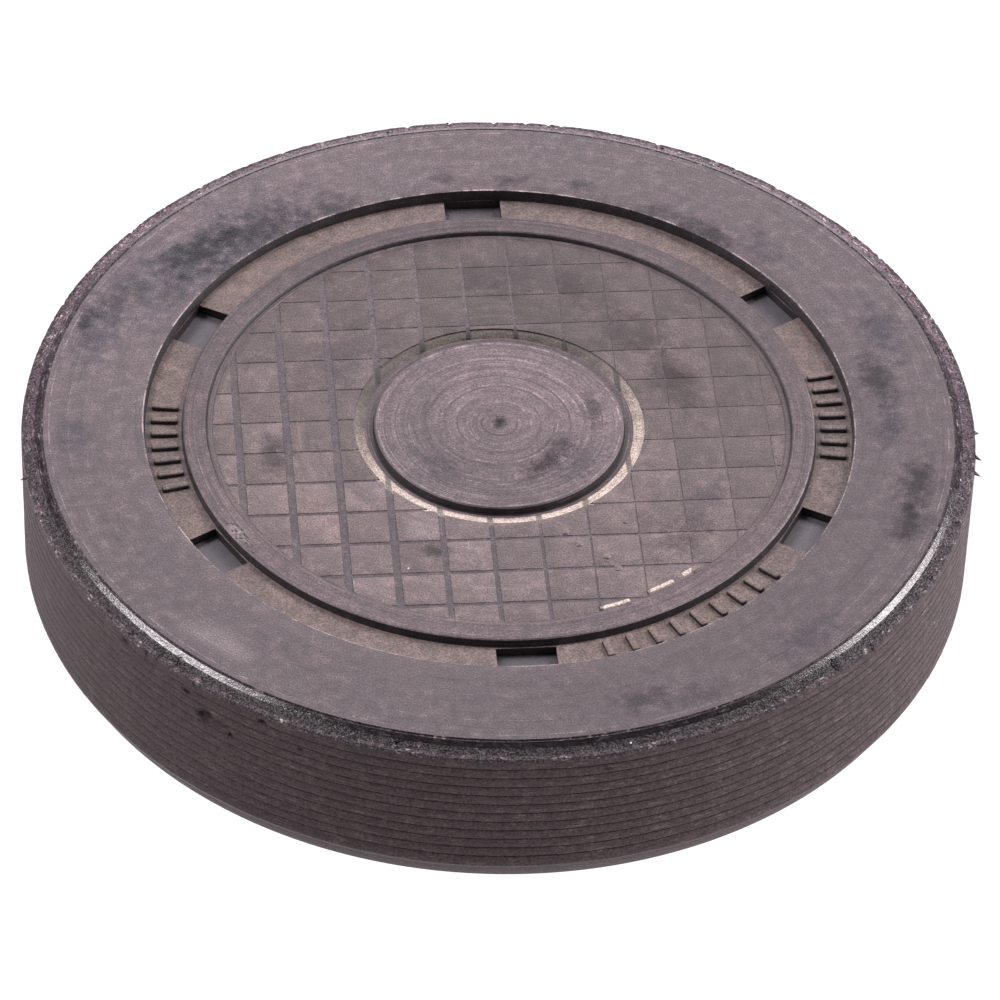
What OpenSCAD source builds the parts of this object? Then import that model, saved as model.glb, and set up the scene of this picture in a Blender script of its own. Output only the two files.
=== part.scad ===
// Rubber-covered bore end cap (blanking plug) of size 57 x 10.5 mm.
// Frame: origin at the centre of the bottom rim, +Z up through the closed face.
// Two pieces: a pressed sheet-steel cup and the rubber cover moulded around it.

/* [Cap] */
// Outer diameter over the ribs, the size of the bore that it closes
outer_d = 57; // [50:0.5:70]
// Overall height
cap_h = 10.5; // [9:0.5:14]
// Height of the lead-in chamfer at the open end
lead_in_h = 1.5; // [0.5:0.1:2]
// Distance that the lead-in chamfer runs inward
lead_in_w = 0.75; // [0.3:0.05:1.2]

/* [Rim] */
// Width of the trimmed band at the outer edge of the closed face
trim_w = 0.62; // [0.3:0.02:0.9]
// Width of the bevel between the trimmed band and the flat land
bevel_w = 0.6; // [0.3:0.05:0.9]
// Drop of the bevel below the land
bevel_drop = 0.3; // [0.1:0.05:0.5]
// Drop across the trimmed band
trim_drop = 0.1; // [0.02:0.02:0.3]

/* [Ribs] */
// Number of fine grooves around the outside
rib_grooves = 11; // [5:1:12]
// Distance from one groove to the next
rib_pitch = 0.695; // [0.5:0.005:0.7]
// Height of the lowest groove
rib_first_z = 2.4; // [2:0.1:2.5]
// Width of a groove at its mouth
rib_groove_w = 0.24; // [0.1:0.02:0.4]
// Depth of a groove
rib_groove_d = 0.12; // [0.05:0.01:0.3]

/* [Marking groove] */
// Outer radius of the marking groove
groove_outer_r = 21.2; // [20.5:0.1:22]
// Radius of the raised ring's outer edge, inside the groove
ring_outer_r = 18.85; // [18.4:0.05:19.2]
// Radius of the raised ring's inner edge
ring_inner_r = 17.55; // [17.2:0.05:17.8]
// Depth of the marking groove below the land
groove_d = 0.75; // [0.5:0.05:1]
// Depth of the raised ring's top below the land
ring_drop = 0.22; // [0.1:0.02:0.4]
// Number of windows down to the steel
window_count = 6; // [3:1:8]
// Width of a window around the groove
window_w = 3.5; // [2:0.1:4]
// Angle of the first window
window_angle = 36; // [0:1:59]

/* [Panel] */
// Depth of the tiled panel below the land
panel_drop = 0.5; // [0.3:0.05:0.7]
// Pitch of the tile rows
row_pitch = 2.72; // [2:0.02:4]
// Pitch of the tile columns
column_pitch = 2.88; // [2:0.02:4]
// Width of the plain margin between the tiles and the raised ring
panel_margin = 0.3; // [0.1:0.05:0.6]
// Width of the channels between tiles
channel_w = 0.36; // [0.2:0.02:0.6]
// Depth of the channels between tiles
channel_d = 0.12; // [0.05:0.01:0.2]
// Turn of the tile grid about the cap's axis
grid_turn = 6; // [0:0.5:45]
// Distance of one row channel from the cap's axis
row_first = 0.83; // [0:0.01:2]
// Distance of one column channel from the cap's axis
column_first = 1.68; // [0:0.01:2]
// Radius of the turned centre disc
disc_r = 7.43; // [6:0.05:8]
// Depth of the disc's face below the land
disc_drop = 0.45; // [0.3:0.05:0.6]
// Outer radius of the sloping gutter around the disc
gutter_r = 8.7; // [8.2:0.1:9.5]
// Depth of the gutter below the land
gutter_drop = 0.85; // [0.6:0.05:1]

/* [Steel insert] */
// Thickness of the sheet steel
steel_t = 1.2; // [1:0.1:1.4]
// Depth of the steel's top face below the land
steel_drop = 1.35; // [1.2:0.05:1.5]
// Outer radius of the steel cup
steel_r = 26.4; // [25.8:0.1:26.6]
// Height of the steel skirt's lower edge above the bottom rim
steel_foot_z = 1.8; // [1.6:0.1:3]
// Inner radius of the bend between the plate and the skirt
steel_bend_r = 1; // [0.6:0.1:1.4]

/* [Hollow side] */
// Thickness of the rubber under the steel plate
roof_t = 0.65; // [0.4:0.05:1]
// Thickness of the rubber inside the steel skirt
lining_t = 0.7; // [0.4:0.05:1]
// Widening of the hollow from its roof to its mouth
hollow_draft = 0.3; // [0:0.1:0.6]

/* [Hidden] */
$fn = 180;
outer_r = outer_d / 2;
land_r = outer_r - trim_w - bevel_w;
bevel_z = cap_h - bevel_drop;
trim_z = bevel_z - trim_drop;
lip_in = 0.05;
lip_drop = 0.2;
lip_z = trim_z - lip_drop;
groove_z = cap_h - groove_d;
ring_z = cap_h - ring_drop;
panel_z = cap_h - panel_drop;
disc_z = cap_h - disc_drop;
gutter_z = cap_h - gutter_drop;
wall_draft = 0.12;
gutter_floor_w = 0.2;
channel_start_r = gutter_r - 2 * panel_margin;
channel_end_r = ring_inner_r - wall_draft - panel_margin;
dimple_r = 0.4;
dimple_d = 0.15;
steel_top_z = cap_h - steel_drop;
steel_under_z = steel_top_z - steel_t;
steel_bend_out = steel_bend_r + steel_t;
skirt_inner_r = steel_r - steel_t;
roof_z = steel_under_z - roof_t;
hollow_r = skirt_inner_r - lining_t;
roof_corner_r = 1.2;
mark_h = 0.3;
mark_w = 0.42;
mark_mid_r = (groove_outer_r + ring_outer_r) / 2;
mark_sink = 0.05;
ledge = 0.05;
above = 1;
bend_steps = 8;
// Centre angle, half number of bars, bar length and step of each row of plain marks
MARK_ROWS = [[188.5, 3, 1.6, 3.4], [5.5, 3, 1.6, 3.4], [306.5, 4, 1.4, 4.2]];

// Points of an arc from angle a0 to a1 about [cx, cy]
function arc(cx, cy, r, a0, a1, steps = bend_steps) =
    [for (i = [0:steps]) let (a = a0 + (a1 - a0) * i / steps) [cx + r * cos(a), cy + r * sin(a)]];

// The three points of one rib groove, from its upper edge to its lower edge
function rib_points(i) =
    let (z = rib_first_z + i * rib_pitch)
    [[outer_r, z - rib_groove_w / 2], [outer_r - rib_groove_d, z], [outer_r, z + rib_groove_w / 2]];

// Ribbed outside, from the bottom rim up to the trimmed edge
function side_points() = concat(
    [[hollow_r + hollow_draft, 0], [outer_r - lead_in_w, 0], [outer_r, lead_in_h]],
    [for (i = [0:rib_grooves - 1]) each rib_points(i)],
    [[outer_r, lip_z], [outer_r - lip_in, trim_z]]);

// Closed face, from the bevel in to the centre dimple
function face_points() = [
    [outer_r - trim_w, bevel_z],
    [land_r, cap_h],
    [groove_outer_r, cap_h],
    [groove_outer_r - wall_draft / 2, groove_z],
    [ring_outer_r + wall_draft, groove_z],
    [ring_outer_r, ring_z],
    [ring_inner_r, ring_z],
    [ring_inner_r - wall_draft, panel_z],
    [gutter_r, panel_z],
    [disc_r + gutter_floor_w + wall_draft, gutter_z],
    [disc_r + wall_draft, gutter_z],
    [disc_r, disc_z],
    [dimple_r, disc_z],
    [0, disc_z - dimple_d]];

// Hollow side, from the centre of the roof out to the mouth
function hollow_points() = concat(
    [[0, roof_z]],
    [for (p = arc(hollow_r - roof_corner_r, roof_z - roof_corner_r, roof_corner_r, 90, 0)) p]);

// Section of the pressed steel cup
function steel_points() = concat(
    [[0, steel_under_z]],
    arc(skirt_inner_r - steel_bend_r, steel_under_z - steel_bend_r, steel_bend_r, 90, 0),
    [[skirt_inner_r, steel_foot_z], [steel_r, steel_foot_z]],
    arc(steel_r - steel_bend_out, steel_top_z - steel_bend_out, steel_bend_out, 0, 90),
    [[0, steel_top_z]]);

module steel_cup() {
    rotate_extrude() polygon(steel_points());
}

// A round band between two radii
module band(r_in, r_out, z, h) {
    translate([0, 0, z]) difference() {
        cylinder(r = r_out, h = h);
        translate([0, 0, -above]) cylinder(r = r_in, h = h + 2 * above);
    }
}

// Windows through the groove floor, down to the steel
module windows() {
    intersection() {
        band(ring_outer_r + wall_draft + ledge, groove_outer_r - wall_draft / 2 - ledge, steel_top_z, steel_drop);
        for (i = [0:window_count - 1])
            rotate(window_angle + i * 360 / window_count)
                translate([0, -window_w / 2, steel_top_z - above])
                    cube([outer_r, window_w, steel_drop + 2 * above]);
    }
}

// Straight cuts that part the panel into rows, each kept to the panel's own band
module grid_cuts(pitch, first) {
    reach = floor(ring_inner_r / pitch);
    for (i = [-reach:reach])
        intersection() {
            band(channel_start_r, channel_end_r, panel_z - channel_d, channel_d + above);
            translate([-ring_inner_r, first + i * pitch - channel_w / 2, panel_z - channel_d])
                cube([2 * ring_inner_r, channel_w, channel_d + above]);
        }
}

module channels() {
    rotate(grid_turn) {
        grid_cuts(row_pitch, row_first);
        rotate(90) grid_cuts(column_pitch, -column_first);
    }
}

// A row of plain raised bars standing on the groove floor
module mark_row(centre, half, length, step) {
    for (i = [-half:half])
        rotate(centre + i * step)
            translate([mark_mid_r - length / 2, -mark_w / 2, groove_z - mark_sink])
                cube([length, mark_w, mark_h + mark_sink]);
}

module rubber_cover() {
    color([0.30, 0.27, 0.28]) {
        difference() {
            rotate_extrude() polygon(concat(side_points(), face_points(), hollow_points()));
            steel_cup();
            windows();
            channels();
        }
        for (row = MARK_ROWS) mark_row(row[0], row[1], row[2], row[3]);
    }
}

module steel_insert() {
    color([0.50, 0.52, 0.55]) steel_cup();
}

rubber_cover();
steel_insert();
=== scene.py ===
"""Gives a rubber-covered bore end cap its moulded rubber, its steel finish and a small studio.

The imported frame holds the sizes. Every length here is in metres, in the frame's own axes.
"""

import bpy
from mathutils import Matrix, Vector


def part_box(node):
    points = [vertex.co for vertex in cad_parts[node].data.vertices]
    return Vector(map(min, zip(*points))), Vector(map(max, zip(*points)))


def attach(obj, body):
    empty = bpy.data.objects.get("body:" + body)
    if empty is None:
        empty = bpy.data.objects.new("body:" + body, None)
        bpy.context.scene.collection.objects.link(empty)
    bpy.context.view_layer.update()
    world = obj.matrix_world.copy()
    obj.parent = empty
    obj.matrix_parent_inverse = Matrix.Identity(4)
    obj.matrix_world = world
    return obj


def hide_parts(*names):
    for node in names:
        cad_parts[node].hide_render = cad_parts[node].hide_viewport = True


bl_info = {
    "name": "Rubber-covered bore end cap",
    "version": (1, 0, 0),
    "blender": (4, 5, 0),
    "location": "3D View > Sidebar > End Cap",
    "description": "Builds the visible rubber, steel and studio of a bore end cap around its frame",
    "category": "Object",
}

import random
from math import atan2, cos, degrees, hypot, pi, radians, sin

import bpy
from bpy.props import FloatProperty, FloatVectorProperty, IntProperty, PointerProperty
from mathutils import Matrix, Vector

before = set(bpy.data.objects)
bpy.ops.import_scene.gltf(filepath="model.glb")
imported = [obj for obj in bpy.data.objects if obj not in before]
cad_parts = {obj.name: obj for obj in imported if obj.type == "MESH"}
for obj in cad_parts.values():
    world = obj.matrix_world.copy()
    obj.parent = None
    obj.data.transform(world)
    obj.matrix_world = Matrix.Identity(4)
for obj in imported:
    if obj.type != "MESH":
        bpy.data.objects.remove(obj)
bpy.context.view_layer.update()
cover_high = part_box("rubber_cover")[1]
steel_low, steel_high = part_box("steel_insert")

MM = 0.001
WELD = 0.0005 * MM
AXIS = {"center": (0, 0, 0), "axis": (0, 0, 1)}
EASED = {"interpolation_type": "SMOOTHSTEP"}

# Places of the pits in the ribbed side: angle in degrees, height and half length in millimetres
SIDE_PITS = [(235.6, 7.8, 0.5), (232.4, 9.0, 0.2), (238.9, 7.3, 0.16), (243.2, 9.5, 0.22), (222.4, 9.5, 0.2),
             (248.1, 8.4, 0.14), (261.2, 8.5, 0.12), (284, 8.9, 0.18), (300, 8.3, 0.16), (160, 7.5, 0.3),
             (75, 8.2, 0.35), (20, 6.4, 0.2)]
# Places of the blisters on the tiled panel: x, y and radius in millimetres
BLISTERS = [(4.1, -9.25, 0.26), (4.9, -10.25, 0.24), (6.55, -11.2, 0.3), (7.25, -12.2, 0.27), (6.5, -11.6, 0.12)]
# Rows of plain raised marks in the groove: middle angle, half number of bars, bar length, step
MARK_ROWS = [(188.5, 3, 1.6, 3.4), (5.5, 3, 1.6, 3.4), (306.5, 4, 1.4, 4.2)]
# Whiskers of flash on the trimmed edge: angle, height below the trim, length, droop in degrees
WHISKERS = [(357.1, 0.12, 0.5, 35), (354.4, 0.2, 0.5, 30), (1.2, 0.05, 0.3, 10), (192.5, 0.1, 0.4, 25),
            (199, 0.15, 0.35, 50), (226, 0.15, 0.5, 70), (233.5, 0.12, 0.4, 60), (320.5, 0.1, 0.35, 60)]
# Ridges of flash on the panel's margin: radius, first and last angle, height
RIDGES = [(16.9, -57.7, -51.5, 0.05), (16.85, -49, -45.5, 0.04), (17.0, -68.4, -62.0, 0.05)]


def linear(hex_colour):
    """Turns an sRGB hex colour into the linear red, green and blue that shaders use."""
    channels = [int(hex_colour[i:i + 2], 16) / 255 for i in (0, 2, 4)]
    return [c / 12.92 if c <= 0.04045 else ((c + 0.055) / 1.055) ** 2.4 for c in channels]


def length(name, millimetres, description):
    """A length that the user may change."""
    return FloatProperty(name=name, description=description, default=millimetres * MM, unit="LENGTH")


def angle(name, turned, description):
    """An angle that the user may change, given in degrees."""
    return FloatProperty(name=name, description=description, default=radians(turned), subtype="ANGLE")


def colour(name, hex_colour, description):
    """A colour that the user may change."""
    return FloatVectorProperty(name=name, description=description, default=linear(hex_colour), subtype="COLOR")


class CoverSizes(bpy.types.PropertyGroup):
    """Sizes of the rubber cover. Those that the frame shows come from the frame."""

    outer_r: length("Outer radius", cover_high.x / MM, "Radius over the ribs")
    height: length("Height", cover_high.z / MM, "From the open rim to the land")
    trim_w: length("Trimmed band", 0.62, "Width of the band left by trimming the flash")
    bevel_w: length("Bevel", 0.6, "Width of the bevel round the land")
    bevel_drop: length("Bevel drop", 0.3, "Drop of the bevel below the land")
    trim_drop: length("Trim drop", 0.1, "Drop across the trimmed band")
    lead_in_w: length("Lead-in width", 0.75, "How far the lead-in chamfer runs inward")
    lead_in_h: length("Lead-in height", 1.5, "Height of the lead-in chamfer")
    rib_grooves: IntProperty(name="Rib grooves", description="Fine grooves around the outside", default=11)
    rib_pitch: length("Rib pitch", 0.695, "Distance between rib grooves")
    rib_first_z: length("Lowest groove", 2.4, "Height of the lowest rib groove")
    rib_groove_w: length("Rib groove width", 0.15, "Width of a rib groove at its mouth")
    rib_groove_d: length("Rib groove depth", 0.03, "Depth of a rib groove as worn")
    groove_outer_r: length("Groove radius", 21.2, "Outer radius of the marking groove")
    groove_d: length("Groove depth", 0.75, "Depth of the marking groove below the land")
    ring_outer_r: length("Ring outer radius", 18.85, "Outer radius of the raised ring")
    ring_inner_r: length("Ring inner radius", 17.55, "Inner radius of the raised ring")
    ring_drop: length("Ring drop", 0.22, "Depth of the ring's top below the land")
    panel_drop: length("Panel drop", 0.5, "Depth of the tiled panel below the land")
    disc_r: length("Disc radius", 7.43, "Radius of the turned centre disc")
    disc_drop: length("Disc drop", 0.45, "Depth of the disc's face below the land")
    gutter_r: length("Gutter radius", 8.7, "Outer radius of the gutter around the disc")
    gutter_drop: length("Gutter drop", 0.85, "Depth of the gutter below the land")
    draft: length("Wall draft", 0.12, "Lean of the small walls")
    row_pitch: length("Row pitch", 2.72, "Pitch of the tile rows")
    row_first: length("First row", 0.83, "Distance of one row channel from the axis")
    column_pitch: length("Column pitch", 2.88, "Pitch of the tile columns")
    column_first: length("First column", 1.68, "Distance of one column channel from the axis")
    grid_turn: angle("Grid turn", 6, "Turn of the tile grid")
    channel_d: length("Channel depth", 0.032, "Depth of the channels as worn")
    window_w: length("Window width", 3.5, "Width of a window down to the steel")
    window_angle: angle("First window", 36, "Angle of the first of six windows")
    hollow_r: length("Hollow radius", 24.5, "Radius of the hollow under its roof")
    hollow_draft: length("Hollow draft", 0.3, "Widening of the hollow at its mouth")
    roof_t: length("Roof thickness", 0.65, "Rubber under the steel plate")
    steel_t: length("Steel thickness", 1.2, "Thickness of the sheet steel")
    steel_bend_r: length("Steel bend", 1, "Inner radius of the steel's bend")
    around: IntProperty(name="Steps around", description="Steps of a turned piece", default=880)


class CoverColours(bpy.types.PropertyGroup):
    """Colours of the rubber, the steel and the studio."""

    land: colour("Land", "50484b", "Moulded rubber of the flat land")
    side: colour("Side", "372f30", "Ground rubber of the ribbed side")
    cut: colour("Cut edge", "2d2429", "Torn rubber of the trimmed band")
    bevel: colour("Bevel", "1b171a", "Smooth rubber of the bevel")
    floor: colour("Groove floor", "695d59", "Grainy rubber of the groove")
    tile: colour("Tile", "584e4e", "Rubber of the tiles")
    ring: colour("Ring", "504649", "Turned rubber of the raised ring")
    channel: colour("Channel", "544c50", "Rubber of the channels")
    # The gutter's pale colour is partly a painted highlight.
    gutter: colour("Gutter", "867c73", "Smooth rubber of the gutter")
    disc: colour("Disc", "584e51", "Turned rubber of the disc")
    warm: colour("Warm patch", "7a6a66", "Brownish bloom")
    cool: colour("Cool smudge", "3c3941", "Bluish bloom on the rubber")
    # The dark colour is also the base of the painted shade on the small walls and in the side's pits.
    dark: colour("Dark smudge", "282327", "Grimy dark marks")
    grease: colour("Grease", "26262b", "Blue-grey greasy smears")
    bloom: colour("Bloom", "3d3d45", "Bluish bloom round the smears")
    dust: colour("Dust", "d8cccc", "Chalky dust specks")
    steel: colour("Steel", "6b696e", "Phosphated steel in the windows")
    light: FloatVectorProperty(
        name="Light", description="Rosy tint of the soft lights", default=(1.0, 0.92, 0.955), subtype="COLOR")
    studio: colour("Light table", "303030", "Opal glass of the light table")


class StudioSettings(bpy.types.PropertyGroup):
    """Camera's place, aim and lens."""

    elevation: angle("Elevation", 42.61, "Camera's height angle")
    roll: angle("Roll", 1.973, "Camera's roll")
    distance: length("Distance", 367.576, "From the camera to its aim")
    aim: FloatVectorProperty(
        name="Aim", description="Point that the camera looks at", subtype="TRANSLATION",
        default=(0.2075 * MM, 1.9083 * MM, 2.0752 * MM))
    lens: FloatProperty(name="Lens", description="Focal length in millimetres on a 36 mm sensor", default=217.29)


# ---------------------------------------------------------------- modelling helpers


def select(piece=None):
    """Leaves edit mode and selects that piece alone, or nothing."""
    if bpy.context.mode != "OBJECT":
        bpy.ops.object.mode_set(mode="OBJECT")
    bpy.ops.object.select_all(action="DESELECT")
    if piece:
        bpy.context.view_layer.objects.active = piece
        piece.select_set(True)


def name_piece(name):
    """Names the primitive that was just added."""
    piece = bpy.context.active_object
    piece.name = name
    piece.data.name = name
    return piece


def draw_section(name, points):
    """Draws a turned piece's section, by extruding one vertex along its (radius, height) points."""
    select()
    bpy.ops.mesh.primitive_plane_add(size=MM)
    piece = name_piece(name)
    bpy.ops.object.mode_set(mode="EDIT")
    bpy.ops.mesh.merge(type="CENTER")
    bpy.ops.transform.translate(value=(points[0][0], 0, points[0][1]))
    for (r0, z0), (r1, z1) in zip(points, points[1:]):
        bpy.ops.mesh.extrude_region_move(TRANSFORM_OT_translate={"value": (r1 - r0, 0, z1 - z0)})
    return piece


def weld():
    """Merges doubles, and leaves the whole mesh selected."""
    bpy.ops.mesh.select_all(action="SELECT")
    bpy.ops.mesh.remove_doubles(threshold=WELD)
    bpy.ops.mesh.select_all(action="SELECT")


def close_mesh():
    """Merges doubles, turns the faces outwards and leaves edit mode."""
    weld()
    bpy.ops.mesh.normals_make_consistent(inside=False)
    bpy.ops.object.mode_set(mode="OBJECT")


def turn(steps, parts=8):
    """Spins the drawn section about the cap's axis: one part of the turn first, then copies of it."""
    weld()
    part = 2 * pi / parts
    bpy.ops.mesh.spin(steps=steps // parts, angle=part, **AXIS)
    bpy.ops.mesh.select_all(action="SELECT")
    bpy.ops.mesh.spin(steps=parts - 1, dupli=True, angle=part * (parts - 1), **AXIS)
    close_mesh()


def corner(r, z, radius, start, end, steps=4):
    """Points of a round corner about (r, z), from one angle to another in degrees."""
    angles = [radians(start + (end - start) * i / steps) for i in range(steps + 1)]
    return [(r + radius * cos(a), z + radius * sin(a)) for a in angles]


def around(radius, bearing, height):
    """A place at a radius and bearing about the cap's axis."""
    return radius * cos(bearing), radius * sin(bearing), height


def apply_modifier(piece, kind, **settings):
    """Adds a modifier, sets it and applies it."""
    select(piece)
    modifier = piece.modifiers.new(kind.lower(), kind)
    for key, value in settings.items():
        setattr(modifier, key, value)
    bpy.ops.object.modifier_apply(modifier=modifier.name)


def roughen(piece, group, cell, height, direction="NORMAL"):
    """Moves the vertices of a group by a cloud texture of that cell size and height, in millimetres."""
    texture = bpy.data.textures.new("unevenness", "CLOUDS")
    texture.noise_scale = cell * MM
    apply_modifier(piece, "DISPLACE", texture=texture, strength=height * MM, mid_level=0.5,
                   direction=direction, texture_coords="LOCAL", vertex_group=group)
    bpy.data.textures.remove(texture)


def group_where(piece, name, belongs):
    """Makes a vertex group of the vertices whose radius and height belong to it."""
    inside = [v.index for v in piece.data.vertices if belongs(hypot(v.co.x, v.co.y), v.co.z)]
    piece.vertex_groups.new(name=name).add(inside, 1.0, "REPLACE")


def paint_where(piece, materials, choose):
    """Gives each face the material that choose(radius, height, normal) names."""
    slots = list(materials)
    for material in materials.values():
        piece.data.materials.append(material)
    for face in piece.data.polygons:
        middle = face.center
        face.material_index = slots.index(choose(hypot(middle.x, middle.y), middle.z, face.normal))


def join(parts):
    """Joins the parts into the first of them."""
    select(parts[0])
    for part in parts:
        part.select_set(True)
    bpy.ops.object.join()


def finish_piece(piece, smooth_angle=35):
    """Smooths the piece below an angle and joins it to the frame in place of the rubber cover."""
    select(piece)
    bpy.ops.object.shade_smooth_by_angle(angle=radians(smooth_angle))
    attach(piece, "root")
    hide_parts("rubber_cover")


# ---------------------------------------------------------------- materials


def add(tree, kind, values=(), out=0, **settings):
    """Adds a node, sets it, fills its inputs with values or links, and returns one output."""
    node = tree.nodes.new("ShaderNode" + kind)
    for key, value in settings.items():
        setattr(node, key, value)
    for key, value in values.items() if isinstance(values, dict) else enumerate(values):
        socket = node.inputs[key]
        if isinstance(value, bpy.types.NodeSocket):
            tree.links.new(value, socket)
        else:
            socket.default_value = (*value, 1) if socket.type == "RGBA" else value
    return node.outputs[out]


def new_material(name, roughness, specular):
    """A material with one Principled shader and the object's own coordinates."""
    material = bpy.data.materials.new(name)
    material.use_nodes = True
    tree = material.node_tree
    tree.nodes.clear()
    surface = add(tree, "BsdfPrincipled", {"Roughness": roughness, "Specular IOR Level": specular})
    tree.links.new(surface, tree.nodes.new("ShaderNodeOutputMaterial").inputs["Surface"])
    return material, tree, surface.node, add(tree, "TexCoord", out="Object")


def radius_of(tree, place):
    """Distance from the cap's axis, the direction away from it, and the height."""
    x, y, height = add(tree, "SeparateXYZ", (place,)).node.outputs
    flat = add(tree, "CombineXYZ", (x, y))
    length_of = add(tree, "VectorMath", (flat,), "Value", operation="LENGTH")
    return length_of, add(tree, "VectorMath", (flat,), operation="NORMALIZE"), height


def streaks(tree, place, width, turns):
    """Noise drawn out around the cap's axis: width across, and about so many streaks in a radian."""
    radius, direction, height = radius_of(tree, place)
    across = add(tree, "Math", (add(tree, "Math", (radius, height)), width), operation="DIVIDE")
    spread = add(tree, "VectorMath", {0: direction, "Scale": turns}, operation="SCALE")
    vector = add(tree, "VectorMath", (spread, add(tree, "CombineXYZ", {2: across})))
    return add(tree, "TexNoise", {"Vector": vector, "Scale": 1.0, "Detail": 3.0, "Roughness": 0.6})


def specks(tree, place, spacing, size, share):
    """Mask of round specks of a radius, about so far apart, in a share of the places."""
    distance = add(tree, "TexVoronoi", {"Vector": place, "Scale": 1 / spacing}, "Distance")
    near = add(tree, "MapRange", (distance, size / spacing, 0.6 * size / spacing), **EASED)
    pick = add(tree, "SeparateColor", (distance.node.outputs["Color"],))
    chosen = add(tree, "Math", (pick, share), operation="LESS_THAN")
    return add(tree, "Math", (near, chosen), operation="MULTIPLY")


def spot(tree, place, centre, reach, break_up):
    """Mask of one smudge about a centre, drawn out around the axis and ragged at its edge."""
    local = add(tree, "Mapping", {
        "Vector": place, "Location": [c * MM for c in centre], "Rotation": (0, 0, atan2(centre[1], centre[0])),
        "Scale": (1, 1.9, 1)}, vector_type="TEXTURE")
    away = add(tree, "VectorMath", (local,), "Value", operation="LENGTH")
    ragged = add(tree, "Math", (break_up, 2.6 * reach, away), operation="MULTIPLY_ADD")
    return add(tree, "MapRange", (ragged, 2.6 * reach, 1.4 * reach), **EASED)


def circle(tree, radius, at, half, break_up):
    """Mask of one thin broken circle about the axis."""
    beside = add(tree, "Math", (radius, at * MM), operation="SUBTRACT")
    off = add(tree, "Math", (beside,), operation="ABSOLUTE")
    near = add(tree, "MapRange", (off, half * MM, 0.3 * half * MM), **EASED)
    broken = add(tree, "MapRange", (break_up, 0.42, 0.6), **EASED)
    return add(tree, "Math", (near, broken), operation="MULTIPLY")


def add_bumps(tree, shader, layers):
    """Chains bump nodes for (height, depth in millimetres) layers into the shader's normal."""
    inputs = {"Strength": 1.0}
    for height, depth in layers:
        inputs["Normal"] = add(tree, "Bump", {**inputs, "Height": height, "Distance": depth * MM})
    tree.links.new(inputs["Normal"], shader.inputs["Normal"])


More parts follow.
